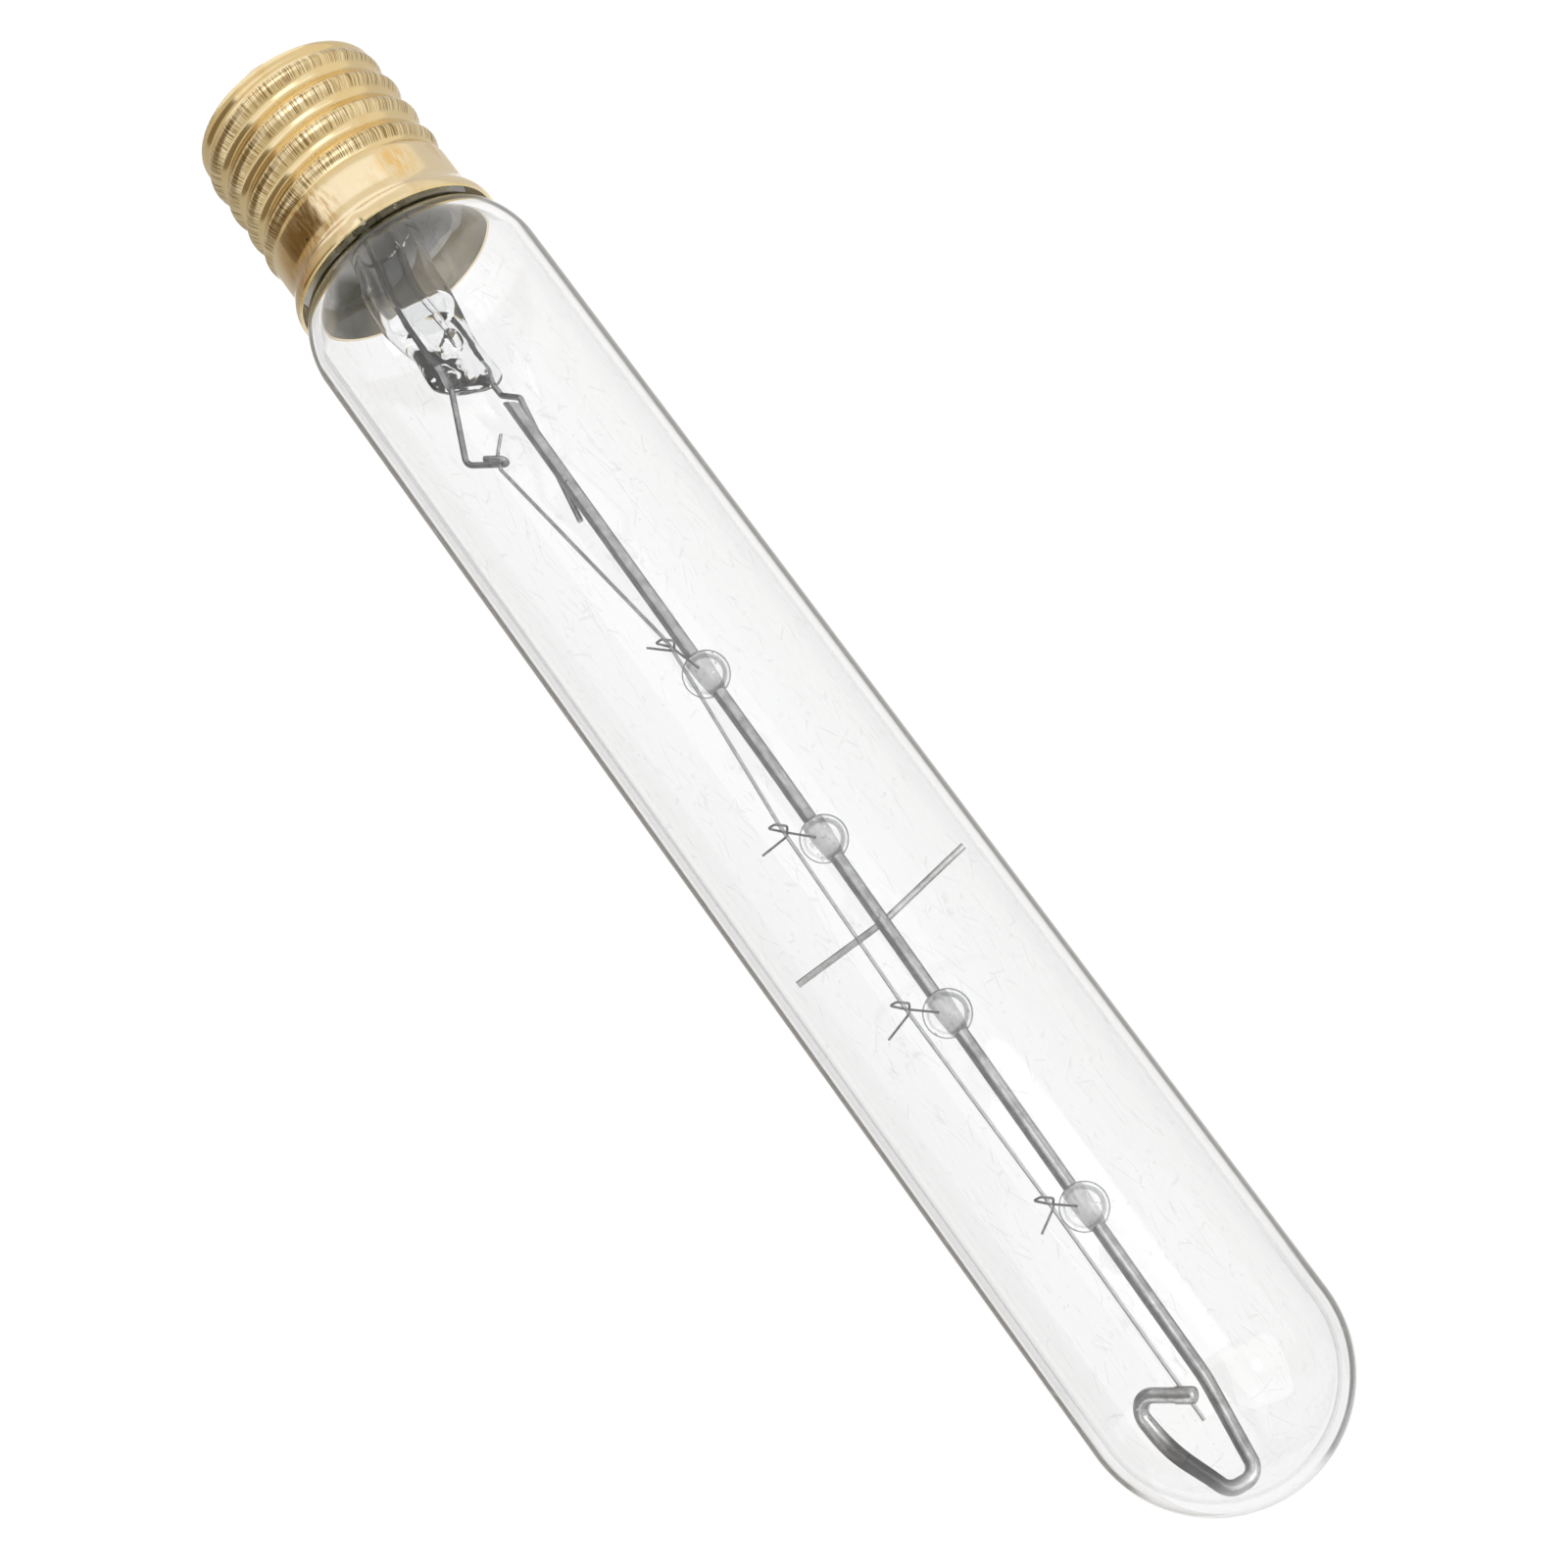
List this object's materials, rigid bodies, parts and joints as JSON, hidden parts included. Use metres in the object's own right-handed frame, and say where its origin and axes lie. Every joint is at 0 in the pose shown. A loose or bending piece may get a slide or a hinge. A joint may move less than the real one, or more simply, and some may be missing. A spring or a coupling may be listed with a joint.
{
  "type": "tubular light bulb",
  "caption": "Clear tubular incandescent bulb on a rolled brass screw cap, its coiled filament hooked along a support rod inside the glass.",
  "frame": {"origin": "tip of the solder button on the bulb's axis, where it meets the holder's centre contact", "axes": "+Z along the bulb's axis from the cap to the dome, -Y to the front, on which the filament hangs in front of its rod"},
  "size_m": [0.02, 0.02, 0.1397],
  "materials": {
    "shell_brass": "rolled sheet, bright with fine draw marks on the thread's crests",
    "insulator_glass": "black cast glass",
    "contact_brass": "stamped plate",
    "solder": "dull soft solder",
    "cement": "matt baked cement",
    "bulb_glass": "clear, fine scratches",
    "stem_glass": "clear lead glass",
    "bead_glass": "clear with small bubbles",
    "lead_wire": "drawn nickel-plated wire",
    "seal_wire": "borated copper-clad wire",
    "rod_wire": "drawn wire, satin",
    "hook_wire": "fine drawn wire",
    "filament_wire": "coiled tungsten wire"
  },
  "bodies": {
    "root": {"screw_shell": "shell_brass", "cap_insulator": "insulator_glass", "centre_contact": "contact_brass", "contact_solder": "solder", "basing_cement": "cement", "side_solder": "solder", "glass_envelope": "bulb_glass", "glass_stem": "stem_glass", "exhaust_tube": "stem_glass", "outer_lead_centre": "lead_wire", "outer_lead_side": "lead_wire", "seal_wire_filament": "seal_wire", "seal_wire_rod": "seal_wire", "filament_lead": "lead_wire", "rod_lead": "lead_wire", "support_rod": "rod_wire", "glass_bead_1": "bead_glass", "filament_hook_1": "hook_wire", "glass_bead_2": "bead_glass", "filament_hook_2": "hook_wire", "glass_bead_3": "bead_glass", "filament_hook_3": "hook_wire", "glass_bead_4": "bead_glass", "filament_hook_4": "hook_wire", "filament": "filament_wire", "spacer_wire": "rod_wire"}
  },
  "joints": []
}
